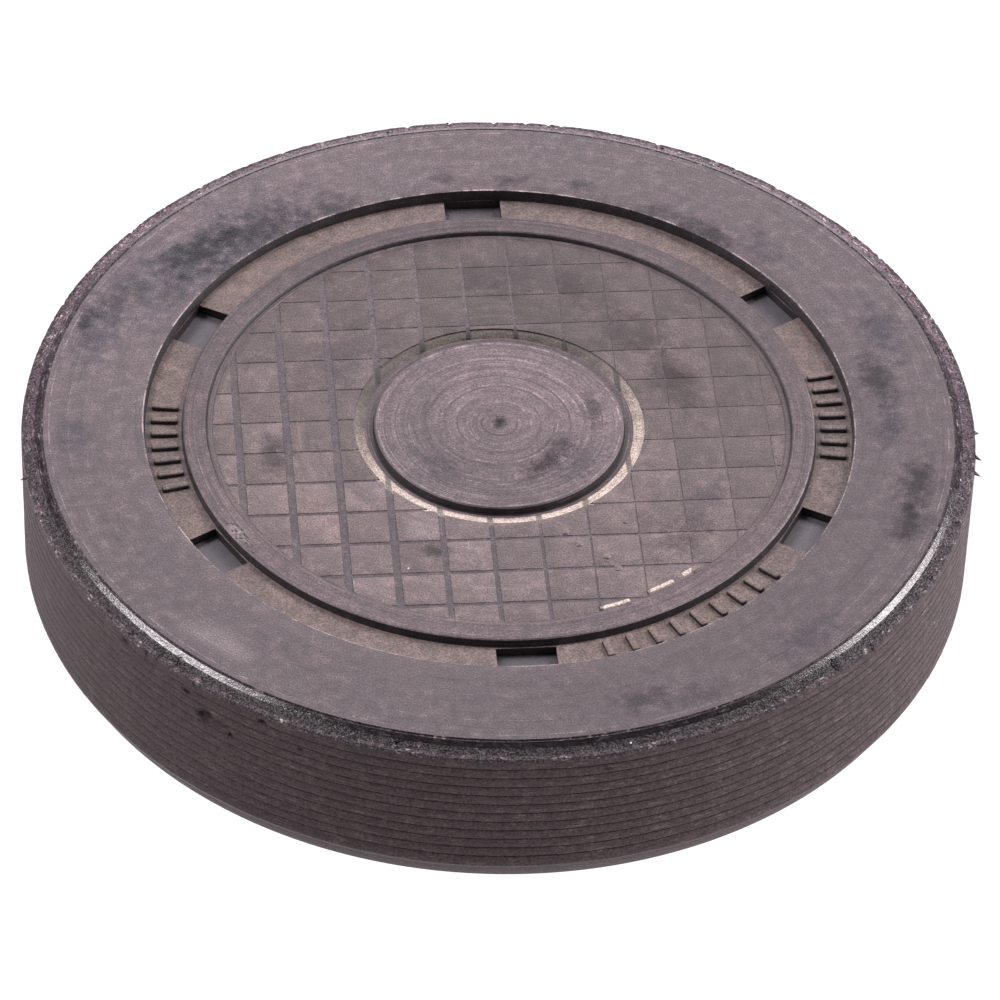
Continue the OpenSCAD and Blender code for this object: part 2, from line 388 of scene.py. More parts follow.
def rubber(name, base, colours, roughness, grain, mottle, smudges=(), lines=(), circles=(), dust=0.25,
           relief=1.0, gloss=0.5, sparkle=0.0, painted_light_leans=(), tone_by=None):
    """Moulded nitrile rubber: a matt, slightly sooty surface with bloom, grease smudges and dust.

    Sizes are in millimetres. A smudge is (x, y, z, reach, strength, tint). A line is (width, turns,
    soot, dust, depth), a circle (radius, half width, strength, tint), a lean (towards, low, high): painted
    light and shade, which takes the tone from low to high across the cap towards that direction.
    """
    if name in bpy.data.materials:
        return bpy.data.materials[name]
    material, tree, shader, place = new_material(name, roughness, gloss)
    # The real moulded grain is too fine to show, so this one is drawn coarser than it is
    wide, middling, fine, ragged = [
        add(tree, "TexNoise", {"Vector": place, "Scale": 1 / (size * MM), "Detail": detail, "Roughness": rough})
        for size, detail, rough in ((6, 5, 0.55), (0.8, 4, 0.65), (grain, 2, 0.7), (1.6, 6, 0.72))]
    layers = [(add(tree, "MapRange", (wide, 0.35, 0.7, 0, mottle), **EASED), colours.cool),
              (add(tree, "MapRange", (middling, 0.52, 0.72, 0, mottle), **EASED), colours.warm)]
    bumps = [(middling, 0.03 * relief), (fine, 0.03 * relief)]
    for width, turns, sooty, dusty, depth in lines:
        drawn = streaks(tree, place, width * MM, turns)
        layers += [(add(tree, "MapRange", (drawn, 0.46, 0.3, 0, sooty), **EASED), colours.dark),
                   (add(tree, "MapRange", (drawn, 0.56, 0.75, 0, dusty), **EASED), colours.dust)]
        bumps.append((drawn, depth))
    radius = radius_of(tree, place)[0]
    for at, half, strength, tint in circles:
        mask = circle(tree, radius, at, half, ragged)
        layers.append((add(tree, "Math", (mask, strength), operation="MULTIPLY"), tint))
    sheen = gloss
    if sparkle:
        ends = gloss * (1 - sparkle), gloss * (1 + sparkle)
        sheen = add(tree, "MapRange", (fine, 0.42, 0.62, *ends), **EASED)
    for x, y, z, reach, strength, tint in smudges:
        mask = spot(tree, place, (x, y, z), reach * MM, ragged)
        mask = add(tree, "Math", (mask, strength), operation="MULTIPLY")
        layers.append((mask, tint))
        left = add(tree, "Math", (mask, -0.7, 1.0), operation="MULTIPLY_ADD")
        sheen = add(tree, "Math", (sheen, left), operation="MULTIPLY")
    tone = base
    for mask, tint in layers:
        tone = add(tree, "Mix", {0: mask, 6: tone, 7: tint}, 2, data_type="RGBA")
    contrast = 0.4 + 0.5 * sparkle
    shades = [add(tree, "MapRange", (fine, 0.34, 0.66, 1 - contrast, 1 + contrast), **EASED),
              add(tree, "MapRange", (middling, 0.3, 0.7, 0.78, 1.22), **EASED)]
    # Each lean paints light and shade into the colour: lighter across the cap towards its direction
    for towards, low, high in painted_light_leans:
        along = add(tree, "VectorMath", (place, (*towards, 0)), "Value", operation="DOT_PRODUCT")
        shades.append(add(tree, "MapRange", (along, -16 * MM, 16 * MM, low, high), **EASED))
    if tone_by:
        shades.append(tone_by(tree, place))
    shade = shades[0]
    for other in shades[1:]:
        shade = add(tree, "Math", (shade, other), operation="MULTIPLY")
    tone = add(tree, "Mix", {0: 1.0, 6: tone, 7: shade}, 2, data_type="RGBA", blend_type="MULTIPLY")
    pits = add(tree, "Math", (specks(tree, place, 1.3 * MM, 0.08 * MM, dust), 0.75), operation="MULTIPLY")
    flecks = specks(tree, place, 2.6 * MM, 0.07 * MM, dust)
    for mask, tint in ((pits, colours.dark), (flecks, colours.dust)):
        tone = add(tree, "Mix", {0: mask, 6: tone, 7: tint}, 2, data_type="RGBA")
    tree.links.new(tone, shader.inputs["Base Color"])
    uneven = add(tree, "MapRange", (middling, 0.3, 0.7, roughness - 0.06, roughness + 0.06), **EASED)
    tree.links.new(uneven, shader.inputs["Roughness"])
    if smudges or sparkle:
        tree.links.new(sheen, shader.inputs["Specular IOR Level"])
    add_bumps(tree, shader, bumps)
    return material


def grid_cells(tree, place):
    """Place in the tile grid, counted in tiles along its columns and rows."""
    sizes = bpy.context.scene.end_cap_sizes
    turned = add(tree, "Mapping", {"Vector": place, "Rotation": (0, 0, -sizes.grid_turn)})
    moved = add(tree, "VectorMath", (turned, (sizes.column_first, sizes.row_first, 0)), operation="SUBTRACT")
    return add(tree, "VectorMath", (moved, (sizes.column_pitch, sizes.row_pitch, 1)), operation="DIVIDE")


def tile_tone(tree, place):
    """A tone for each tile of the grid."""
    cell = add(tree, "VectorMath", (grid_cells(tree, place),), operation="FLOOR")
    each = add(tree, "TexWhiteNoise", {"Vector": cell}, noise_dimensions="3D")
    return add(tree, "MapRange", (each, 0, 1, 0.86, 1.12), **EASED)


def gutter_highlight_dashes(tree, place):
    """Painted highlight dashes, which stop at the column channels."""
    part = add(tree, "VectorMath", (grid_cells(tree, place),), operation="FRACTION")
    beside = add(tree, "Math", (add(tree, "SeparateXYZ", (part,)), 0.5), operation="SUBTRACT")
    column = add(tree, "Math", (beside,), operation="ABSOLUTE")
    return add(tree, "MapRange", (column, 0.46, 0.42, 0.3, 1.0), **EASED)


def land_rubber(colours):
    """Land, pressed by a turned mould plate: faint circular streaks and greasy blue-grey smudges."""
    dark, dust = colours.dark, colours.dust
    grease = [(-18.6, 14.4, 1.8, 0.75), (-15.2, 16.7, 1.8, 0.7), (-11.0, 19.0, 1.2, 0.5), (-23.4, 9.6, 1.1, 0.5),
              (-25.3, 7.6, 0.7, 0.8), (0, 22.3, 0.7, 0.6), (4.5, 21.9, 0.6, 0.55), (-4, 22.4, 0.6, 0.45),
              (12.6, 17.8, 1.1, 0.7), (9.6, 19.6, 0.9, 0.5), (22.7, 4.5, 1.3, 0.75), (24.8, -4.6, 1.3, 0.75),
              (24.2, -8.2, 1.2, 0.75), (8.5, -23.6, 1.1, 0.5), (12, -23, 0.9, 0.4)]
    bloom = [(-20.5, 12, 3.2, 0.55), (-16, 15.5, 3.4, 0.5), (-24.6, 6.5, 1.6, 0.7), (15.6, 16.6, 1.4, 0.5),
             (22.8, 9.3, 1.5, 0.7), (23.4, 0.5, 1.2, 0.7), (18, -18.2, 1.4, 0.5), (-25.2, -3, 1.2, 0.5)]
    haze = [(-16.0, -19.6, 1.1, 0.3), (-14.6, -20.6, 0.7, 0.2)]
    pale = [0.45 * c for c in dust]
    smudges = [(x, y, 10.5, reach, strength, tint)
               for places, tint in ((bloom, colours.bloom), (grease, colours.grease), (haze, pale))
               for x, y, reach, strength in places]
    # The pale circle at 21.26 mm, along the groove's edge, is partly flash and partly a painted highlight; the
    # other circles are pale and dark lines in the rubber.
    circles = [(21.26, 0.07, 0.28, dust), (26.85, 0.05, 0.14, dust), (26.3, 0.06, 0.35, dark),
               (25.7, 0.04, 0.08, dust), (25.1, 0.05, 0.25, dark), (21.7, 0.06, 0.3, dark)]
    # The land is painted lighter towards the back and the left, as painted light.
    return rubber("moulded_nitrile_rubber_land", colours.land, colours, 0.5, 0.1, 0.16, smudges,
                  [(0.3, 3.2, 0.3, 0.02, 0.01)], circles, 0.08,
                  painted_light_leans=[((-1, 0), 0.84, 1.0), ((0, 1), 0.98, 1.25)])


def side_rubber(colours):
    """Ribbed side, ground to size: darker and drier, with drawn-out streaks, and pits painted nearly black as the
    shade inside them.
    """
    black = [0.25 * c for c in colours.dark]
    pits = [(*around(28.4, radians(bearing), height), half, 1.0, black) for bearing, height, half in SIDE_PITS]
    # The lean paints the side lighter towards the right, as painted light.
    return rubber("ground_nitrile_rubber_side", colours.side, colours, 0.62, 0.15, 0.06, pits,
                  [(0.12, 22, 0.4, 0.09, 0.02)], dust=0.2, gloss=0.25, painted_light_leans=[((1, -0.2), 0.92, 1.65)])


def shaded_rib_rubber(colours):
    """Flanks of the rib grooves, painted darker than the ground ribs as the shade inside the grooves."""
    return rubber("shaded_nitrile_rubber_rib", [0.85 * c for c in colours.side], colours, 0.7, 0.15, 0.06,
                  lines=[(0.12, 22, 0.4, 0.05, 0.01)], dust=0.05, gloss=0.2)


def cut_rubber(colours):
    """Outer edge of the trim, where the flash was torn off: crumbly and nearly black."""
    # The lean paints the torn band a little darker in front, as painted shade.
    return rubber("torn_nitrile_rubber_trim", colours.cut, colours, 0.48, 0.12, 0.3,
                  lines=[(0.12, 60, 0.8, 0.5, 0.05)], dust=0.6, relief=1.5, gloss=0.4, sparkle=0.5,
                  painted_light_leans=[((0, 1), 0.95, 1.0)])


def bevel_rubber(colours):
    """Upper bevel, rubbed smooth by the cutter: nearly black, with a clean gloss, and painted lighter at the back
    as the back light's reflection.
    """
    return rubber("rubbed_nitrile_rubber_bevel", colours.bevel, colours, 0.19, 0.12, 0.06,
                  lines=[(0.1, 20, 0.5, 0.1, 0.01)], dust=0.3, relief=0.4, gloss=0.6, sparkle=0.3,
                  painted_light_leans=[((0, 1), 0.8, 4.5)])


def scuffed_rubber(colours):
    """Lower bevel and trim, scuffed by the cutter: gloss broken into speckles, painted darker in front and
    lighter at the back as painted light.
    """
    return rubber("scuffed_nitrile_rubber_bevel", colours.cut, colours, 0.38, 0.12, 0.12,
                  lines=[(0.12, 60, 0.9, 0.2, 0.03)], dust=0.6, relief=1.5, gloss=0.36, sparkle=0.6,
                  painted_light_leans=[((0, 1), 0.4, 3.2)])


def floor_rubber(colours):
    """Groove floor, copied from a spark-eroded mould: warm and grainy."""
    return rubber("grained_nitrile_rubber_groove", colours.floor, colours, 0.6, 0.12, 0.25, dust=0.12, relief=1.3)


def shaded_wall_rubber(colours):
    """Small steep walls of the face, painted nearly black beside the lighter flats as the shade they stand in."""
    return rubber("shaded_nitrile_rubber_wall", [0.8 * c for c in colours.dark], colours, 0.5, 0.15, 0.06,
                  lines=[(0.14, 2, 0.4, 0.05, 0.01)], dust=0.05)


def ring_rubber(colours):
    """Raised ring and panel margin, copied from a lathe-turned mould: fine circular lines."""
    # The lean paints the ring and margin lighter towards the front, as painted light.
    return rubber("turned_nitrile_rubber_ring", colours.ring, colours, 0.5, 0.1, 0.12,
                  [(-15.0, -10.7, 10.3, 0.55, 0.22, colours.dust)],
                  [(0.12, 1.3, 0.6, 0.14, 0.03), (0.42, 0.8, 0.4, 0.05, 0.02)], dust=0.1,
                  painted_light_leans=[((0.1, -1), 0.84, 1.16)])


def tile_rubber(colours):
    """Tiles, copied from a filed mould: each a little lighter, warmer or greyer than the next."""
    dark, cool, warm = colours.dark, colours.cool, colours.warm
    smudges = [(10.6, 4.2, 10, 1.5, 0.5, dark), (10.8, -9.4, 10, 1.2, 0.55, dark), (8.0, 8.6, 10, 1.9, 0.4, dark),
               (-13.2, -3.4, 10, 1.0, 0.7, dark), (-3.6, -11.2, 10, 0.7, 0.75, dark),
               (2, 13, 10, 2.4, 0.3, dark), (-9, 6, 10, 2.2, 0.4, cool),
               (-4.2, -9.6, 10, 0.8, 0.3, [0.45 * c for c in colours.dust]),
               (12.2, -6.2, 10, 1.3, 0.4, cool), (-10.5, -8.6, 10, 2.2, 0.3, warm)]
    # The lean paints the tiles lighter towards the front, as painted light; the tone of each tile differs at
    # random.
    return rubber("filed_nitrile_rubber_tile", colours.tile, colours, 0.52, 0.1, 0.22, smudges,
                  [(0.5, 1.6, 0.2, 0.05, 0.01)], dust=0.14, painted_light_leans=[((-0.2, -1), 0.74, 1.28)], tone_by=tile_tone)


def channel_rubber(colours):
    """Channel floors between the tiles: duller and greyer, painted paler towards the back right as painted light.
    """
    return rubber("filed_nitrile_rubber_channel", colours.channel, colours, 0.6, 0.1, 0.2, dust=0.1,
                  painted_light_leans=[((0.7, 0.7), 0.72, 1.2)])


def gutter_rubber(colours):
    """Gutter's outer cone, rubbed smooth and glossy: it shines where it tilts to the back light, and its pale
    colour is a painted highlight, lighter in front, darker behind and broken into dashes.
    """
    return rubber("smooth_nitrile_rubber_gutter", colours.gutter, colours, 0.22, 0.1, 0.1,
                  lines=[(0.14, 2, 0.3, 0.1, 0.008)], dust=0.05, relief=0.25, gloss=0.6,
                  painted_light_leans=[((1.0, -2.6), 0.28, 1.7)], tone_by=gutter_highlight_dashes)


def seat_rubber(colours):
    """Gutter's floor: painted nearly black in front as the disc's shadow, and lighter behind the disc as painted
    light.
    """
    return rubber("shaded_nitrile_rubber_gutter_floor", colours.ring, colours, 0.4, 0.15, 0.1,
                  lines=[(0.14, 2, 0.4, 0.1, 0.01)], dust=0.05, relief=0.5, painted_light_leans=[((0, 3), 0.12, 1.1)])


def flaw_rubber(colours):
    """Blisters and chips on the face: smoother than the rubber round them, so each takes a highlight."""
    return rubber("glossy_nitrile_rubber_flaw", colours.tile, colours, 0.4, 0.15, 0.2, dust=0.05, relief=1.2,
                  gloss=0.7)


def disc_rubber(colours):
    """Centre disc, copied from a lathe-turned mould: rings that catch the light."""
    dark, cool = colours.dark, colours.cool
    smudges = [(3.3, -2.2, 10, 1.0, 0.75, dark), (2.6, -3.7, 10, 0.9, 0.7, dark), (5.6, 1.6, 10, 0.8, 0.6, dark),
               (4.6, -3.4, 10, 1.2, 0.5, cool), (-3.5, -4.2, 10, 1.4, 0.4, cool), (0.01, 0, 10, 0.42, 0.85, dark)]
    sooty = [(1.05, 0.1, 0.85), (1.4, 0.07, 0.7), (2.5, 0.06, 0.7), (3.3, 0.06, 0.7), (4.3, 0.07, 0.7),
             (5.1, 0.06, 0.6), (6.2, 0.06, 0.7), (6.9, 0.06, 0.6), (7.4, 0.06, 0.7)]
    dusty = [(1.9, 0.05, 0.12), (3.5, 0.05, 0.14), (5.4, 0.05, 0.12), (7.25, 0.06, 0.15)]
    circles = [(*ring, dark) for ring in sooty] + [(*ring, colours.dust) for ring in dusty]
    # The lean paints the disc lighter towards the back right, as painted light.
    return rubber("turned_nitrile_rubber_disc", colours.disc, colours, 0.42, 0.1, 0.15, smudges,
                  [(0.13, 0.6, 0.5, 0.12, 0.035), (0.45, 0.6, 0.35, 0.05, 0.03)], circles, 0.06,
                  painted_light_leans=[((1.6, 2.2), 0.93, 1.24)])


def hollow_rubber(colours):
    """Inside of the cap: plain moulded rubber, matt and dark."""
    return rubber("moulded_nitrile_rubber_hollow", colours.side, colours, 0.6, 0.2, 0.2,
                  lines=[(0.6, 1.2, 0.2, 0.08, 0.02)], dust=0.3)


def phosphated_steel(colours):
    """Phosphated sheet steel: dull blue-grey crystals that hardly shine."""
    material, tree, shader, place = new_material("phosphated_steel", 0.5, 0.5)
    wide, crystals = [
        add(tree, "TexNoise", {"Vector": place, "Scale": 1 / (size * MM), "Detail": detail, "Roughness": rough})
        for size, detail, rough in ((1.2, 4, 0.55), (0.08, 3, 0.7))]
    dull = [0.7 * c for c in colours.steel]
    tone = add(tree, "Mix", {0: wide, 6: dull, 7: colours.steel}, 2, data_type="RGBA")
    shade = add(tree, "MapRange", (crystals, 0.3, 0.7, 0.7, 1.2), **EASED)
    tone = add(tree, "Mix", {0: 1.0, 6: tone, 7: shade}, 2, data_type="RGBA", blend_type="MULTIPLY")
    tree.links.new(tone, shader.inputs["Base Color"])
    uneven = add(tree, "MapRange", (crystals, 0.3, 0.7, 0.42, 0.62), **EASED)
    tree.links.new(uneven, shader.inputs["Roughness"])
    shader.inputs["Metallic"].default_value = 0.35
    add_bumps(tree, shader, [(crystals, 0.01)])
    return material


# ---------------------------------------------------------------- the jacket


def rib_section(sizes):
    """Section of the ribbed side, from the lead-in up to the lip."""
    points = []
    worn = 0.02 * MM
    half = sizes.rib_groove_w / 2
    deep = sizes.outer_r - sizes.rib_groove_d
    for i in range(sizes.rib_grooves):
        z = sizes.rib_first_z + i * sizes.rib_pitch
        points += [(sizes.outer_r, z - half), (deep, z - half / 4), (deep + worn, z + half / 4),
                   (sizes.outer_r, z + half)]
    return points


def jacket_section(sizes):
    """Closed section of the cover's outer part, from the mouth over the land and round the steel."""
    top = sizes.height
    bevel_z = top - sizes.bevel_drop
    trim_z = bevel_z - sizes.trim_drop
    trim_r = sizes.outer_r - sizes.trim_w
    land_r = trim_r - sizes.bevel_w
    round_r = 0.12 * MM
    edge = 0.09 * MM
    roof_corner_r = 1.2 * MM
    mouth_r = sizes.hollow_r + sizes.hollow_draft
    foot_r = sizes.outer_r - sizes.lead_in_w
    points = [(mouth_r, round_r), (mouth_r + round_r, 0), (foot_r - round_r, 0), (foot_r, round_r)]
    points += [(sizes.outer_r - 0.03 * MM, sizes.lead_in_h - 0.06 * MM),
               (sizes.outer_r, sizes.lead_in_h + 0.1 * MM)]
    points += rib_section(sizes)
    points += [(sizes.outer_r, trim_z - 0.2 * MM), (sizes.outer_r - 0.05 * MM, trim_z)]
    points += [(sizes.outer_r - sizes.trim_w * share, trim_z + sizes.trim_drop * share)
               for share in (0.25, 0.5, 0.75)]
    points.append((trim_r, bevel_z + 0.02 * MM))
    points += [(trim_r - sizes.bevel_w * share, bevel_z + sizes.bevel_drop * share)
               for share in (0.1, 0.3, 0.5, 0.68, 0.85)]
    points += [(land_r + edge / 3, top - edge), (land_r - edge / 3, top - edge), (land_r - edge, top)]
    points += [(land_r + (sizes.groove_outer_r - land_r) * share, top) for share in (0.04, 0.25, 0.5, 0.75)]
    wall_r = sizes.groove_outer_r - sizes.draft / 2
    points += [(sizes.groove_outer_r + edge, top), (sizes.groove_outer_r + edge / 3, top - edge / 3),
               (sizes.groove_outer_r, top - edge)]
    points += [(wall_r, top - sizes.groove_d), (wall_r, steel_high.z)]
    out_bend = sizes.steel_bend_r + sizes.steel_t
    points += corner(steel_high.x - out_bend, steel_high.z - out_bend, out_bend, 90, 0)
    skirt_r = steel_high.x - sizes.steel_t
    under = steel_high.z - sizes.steel_t
    points += [(steel_high.x, steel_low.z), (skirt_r, steel_low.z)]
    points += corner(skirt_r - sizes.steel_bend_r, under - sizes.steel_bend_r, sizes.steel_bend_r, 0, 90)
    points += [(0, under), (0, under - sizes.roof_t)]
    roof = under - sizes.roof_t
    points += [(sizes.hollow_r * share, roof) for share in (0.4, 0.8)]
    points += corner(sizes.hollow_r - roof_corner_r, roof - roof_corner_r, roof_corner_r, 90, 0)
    points += [(sizes.hollow_r + sizes.hollow_draft / 2, roof / 2), points[0]]
    return points


def nick_rim(piece, sizes):
    """Tears small nicks out of the trimmed edge, as the cutter leaves them."""
    chance = random.Random(11)
    nicks = []
    angle = 0
    while angle < 2 * pi:
        angle += chance.choice((0.6, 1.2, 1.9, 2.6, 3.4)) * chance.uniform(0.7, 1.2) * MM / sizes.outer_r
        nicks.append((angle, chance.uniform(0.06, 0.12) * MM, chance.uniform(0.25, 1.0)))
    inner = sizes.outer_r - sizes.trim_w - 0.1 * MM
    low = sizes.height - sizes.bevel_drop - sizes.trim_drop - 0.25 * MM
    depth = 0.13 * MM
    for vertex in piece.data.vertices:
        radius = hypot(vertex.co.x, vertex.co.y)
        if radius < inner or vertex.co.z < low:
            continue
        bearing = atan2(vertex.co.y, vertex.co.x) % (2 * pi)
        for angle, half, bite in nicks:
            away = abs(bearing - angle) * sizes.outer_r
            reached = (radius - inner) / (sizes.outer_r - inner)
            if away < half and reached > 1 - bite:
                dip = depth * bite * (1 - (away / half) ** 2)
                vertex.co.x *= 1 - 0.4 * dip / radius
                vertex.co.y *= 1 - 0.4 * dip / radius
                vertex.co.z -= dip


def pit_side(piece, sizes):
    """Sinks the pits of the ribbed side."""
    for turned, height, half in SIDE_PITS:
        outward = Vector(around(1, radians(turned), 0))
        middle = outward * sizes.outer_r
        middle.z = height * MM
        reach = half * MM
        for vertex in piece.data.vertices:
            offset = vertex.co - middle
            away = hypot(hypot(offset.x, offset.y) * 0.8, offset.z * 1.5) / reach
            if away < 1 and hypot(vertex.co.x, vertex.co.y) > sizes.outer_r - 0.3 * MM:
                vertex.co -= outward * 0.8 * reach * (1 - away * away)


class ENDCAP_OT_jacket(bpy.types.Operator):
    """Turns the outer part of the rubber cover: mouth, ribs, trimmed rim, land and hollow."""

    bl_idname = "endcap.jacket"
    bl_label = "Rubber jacket"

    def execute(self, context):
        sizes, colours = context.scene.end_cap_sizes, context.scene.end_cap_colours
        piece = draw_section("rubber_jacket", jacket_section(sizes))
        turn(sizes.around)
        trim_r = sizes.outer_r - sizes.trim_w
        trim_z = sizes.height - sizes.bevel_drop - sizes.trim_drop
        group_where(piece, "side", lambda r, z: r > sizes.hollow_r + 3 * MM and MM < z < trim_z)
        group_where(piece, "trim", lambda r, z: r > trim_r - 0.1 * MM and z > trim_z - 0.15 * MM)
        group_where(piece, "land", lambda r, z: z > sizes.height - 0.1 * MM)
        roughen(piece, "side", 3.5, 0.12, "Z")
        roughen(piece, "side", 0.45, 0.04)
        roughen(piece, "trim", 0.3, 0.045)
        roughen(piece, "trim", 2.5, 0.04)
        roughen(piece, "land", 4, 0.03, "Z")
        nick_rim(piece, sizes)
        pit_side(piece, sizes)
        materials = {
            "land": land_rubber(colours), "side": side_rubber(colours), "cut": cut_rubber(colours),
            "bevel": bevel_rubber(colours), "scuffed": scuffed_rubber(colours), "rib": shaded_rib_rubber(colours),
            "wall": shaded_wall_rubber(colours), "hollow": hollow_rubber(colours)}
        land_r = trim_r - sizes.bevel_w
        smooth_r = land_r + 0.45 * MM
        torn_r = sizes.outer_r - 0.24 * MM

        def choose(r, z, normal):
            if z > trim_z - 0.3 * MM and r > smooth_r:
                return "cut" if r > torn_r else "scuffed"
            if z > trim_z and r > land_r + 0.07 * MM:
                return "bevel"
            # The notch at the land's edge takes the dark torn rubber, as painted shade in it.
            if z > trim_z and r > land_r - 0.08 * MM:
                return "cut"
            # The groove's steep wall takes the wall rubber's painted shade.
            if z > steel_high.z and r < land_r:
                return "wall" if abs(normal.z) < 0.5 else "land"
            if r < steel_high.x + 0.3 * MM:
                return "hollow"
            if abs(z - sizes.lead_in_h) < 0.1 * MM:
                return "land"
            # The tilted flanks of the rib grooves take the rib rubber's painted shade.
            return "rib" if abs(normal.z) > 0.3 and z > sizes.lead_in_h + 0.3 * MM else "side"

        paint_where(piece, materials, choose)
        finish_piece(piece)
        return {"FINISHED"}


# ---------------------------------------------------------------- the closed face


def ring_section(sizes):
    """Closed section of the groove floor and the raised ring, standing on the steel."""
    floor_z = sizes.height - sizes.groove_d
    ring_z = sizes.height - sizes.ring_drop
    panel_z = sizes.height - sizes.panel_drop
    foot_r = sizes.ring_inner_r - sizes.draft
    soft = 0.05 * MM
    bite = 0.03 * MM
    wall_r = sizes.groove_outer_r - sizes.draft / 2
    points = [(foot_r, steel_high.z), (wall_r + bite, steel_high.z), (wall_r + bite, floor_z)]
    steps = 5
    inner_r = sizes.ring_outer_r + sizes.draft
    points += [(wall_r - (wall_r - inner_r) * i / steps, floor_z) for i in range(1, steps + 1)]
    points += [(sizes.ring_outer_r + soft / 2, ring_z - soft), (sizes.ring_outer_r - soft, ring_z)]
    points += [(sizes.ring_inner_r + (sizes.ring_outer_r - sizes.ring_inner_r) * share, ring_z - dip * MM)
               for share, dip in ((0.75, 0.01), (0.5, 0), (0.25, 0.015))]
    points += [(sizes.ring_inner_r + soft, ring_z), (sizes.ring_inner_r - soft / 2, ring_z - soft)]
    points += [(foot_r, panel_z), points[0]]
    return points


def cut_windows(piece, sizes):
    """Cuts the six windows through the groove floor, down to the steel."""
    wall_r = sizes.groove_outer_r - sizes.draft / 2
    inner_r = sizes.ring_outer_r + sizes.draft
    inset = 0.05 * MM
    spare = 0.5 * MM
    depth = wall_r - inner_r - 2 * inset
    middle = (wall_r + inner_r) / 2
    select()
    cutters = []
    for i in range(6):
        bpy.ops.mesh.primitive_cube_add(size=1, location=(middle, 0, steel_high.z))
        bpy.ops.transform.resize(value=(depth, sizes.window_w, 2 * sizes.groove_d + spare))
        cutter = bpy.context.active_object
        bpy.ops.object.transform_apply(location=True, rotation=True, scale=True)
        cutter.data.transform(Matrix.Rotation(sizes.window_angle + i * pi / 3, 4, "Z"))
        cutters.append(cutter)
    for cutter in cutters:
        apply_modifier(piece, "BOOLEAN", operation="DIFFERENCE", solver="EXACT", object=cutter)
        bpy.data.objects.remove(cutter)


class ENDCAP_OT_ring(bpy.types.Operator):
    """Turns the groove floor and the raised ring, and cuts the windows."""

    bl_idname = "endcap.ring"
    bl_label = "Marking groove and ring"

    def execute(self, context):
        sizes, colours = context.scene.end_cap_sizes, context.scene.end_cap_colours
        piece = draw_section("marking_ring", ring_section(sizes))
        turn(360)
        floor_z = sizes.height - sizes.groove_d
        # One stretch of the groove floor stands a little higher than the rest
        step = 0.09 * MM
        for vertex in piece.data.vertices:
            bearing = degrees(atan2(vertex.co.y, vertex.co.x))
            if abs(vertex.co.z - floor_z) < WELD and 126.5 < bearing < 151:
                vertex.co.z += step
        cut_windows(piece, sizes)
        materials = {"floor": floor_rubber(colours), "ring": ring_rubber(colours), "wall": shaded_wall_rubber(colours)}
        floor_r = sizes.ring_outer_r + sizes.draft / 2

        def choose(r, z, normal):
            # Steep walls take the wall rubber's painted shade.
            if abs(normal.z) < 0.5:
                return "wall"
            return "floor" if r > floor_r else "ring"

        paint_where(piece, materials, choose)
        finish_piece(piece)
        return {"FINISHED"}


def plate_section(sizes):
    """Closed section of the panel at the channels' floor, the gutter and the turned disc."""
    base_z = sizes.height - sizes.panel_drop - sizes.channel_d
    panel_z = sizes.height - sizes.panel_drop
    disc_z = sizes.height - sizes.disc_drop
    gutter_z = sizes.height - sizes.gutter_drop
    outer_r = sizes.ring_inner_r - sizes.draft
    margin = 0.32 * MM
    points = [(0, steel_high.z), (outer_r, steel_high.z), (outer_r, panel_z)]
    points += [(outer_r - margin, panel_z), (outer_r - margin - 0.05 * MM, base_z)]
    points += [(sizes.gutter_r + 0.2 * MM + (outer_r - margin - sizes.gutter_r) * share, base_z)
               for share in (0.75, 0.5, 0.25, 0)]
    points += [(sizes.disc_r + 0.62 * MM, (base_z + 2 * gutter_z) / 3), (sizes.disc_r + 0.32 * MM, gutter_z),
               (sizes.disc_r + 0.12 * MM, gutter_z)]
    points += [(sizes.disc_r + 0.03 * MM, disc_z - 0.06 * MM), (sizes.disc_r - 0.05 * MM, disc_z)]
    chance = random.Random(5)
    radius = sizes.disc_r - 0.2 * MM
    while radius > 0.75 * MM:
        points.append((radius, disc_z - chance.uniform(0, 0.022) * MM))
        radius -= chance.uniform(0.1, 0.2) * MM
    points += [(0.62 * MM, disc_z - 0.01 * MM), (0.45 * MM, disc_z - 0.03 * MM), (0.3 * MM, disc_z - 0.1 * MM),
               (0.12 * MM, disc_z - 0.15 * MM), (0, disc_z - 0.15 * MM)]
    return points


class ENDCAP_OT_plate(bpy.types.Operator):
    """Turns the plate of the closed face: channel floor, gutter, disc and centre dimple."""

    bl_idname = "endcap.plate"
    bl_label = "Panel plate and disc"

    def execute(self, context):
        sizes, colours = context.scene.end_cap_sizes, context.scene.end_cap_colours
        piece = draw_section("panel_plate", plate_section(sizes))
        turn(400)
        materials = {
            "channel": channel_rubber(colours), "disc": disc_rubber(colours), "gutter": gutter_rubber(colours),
            "seat": seat_rubber(colours), "margin": ring_rubber(colours), "wall": shaded_wall_rubber(colours)}
        disc_r = sizes.disc_r + 0.02 * MM
        seat_r = sizes.disc_r + 0.26 * MM
        margin_r = sizes.ring_inner_r - sizes.draft - 0.36 * MM

        def choose(r, z, normal):
            if r < disc_r:
                return "disc"
            # The disc's wall takes the wall rubber's painted shade, and the flat round its foot the seat's
            # painted shadow in front.
            if r < seat_r:
                return "wall" if abs(normal.z) < 0.5 else "seat"
            if r < sizes.disc_r + 0.6 * MM:
                return "margin"
            if r < sizes.gutter_r + 0.15 * MM:
                return "gutter"
            return "channel" if r < margin_r else "margin"

        paint_where(piece, materials, choose)
        finish_piece(piece)
        return {"FINISHED"}


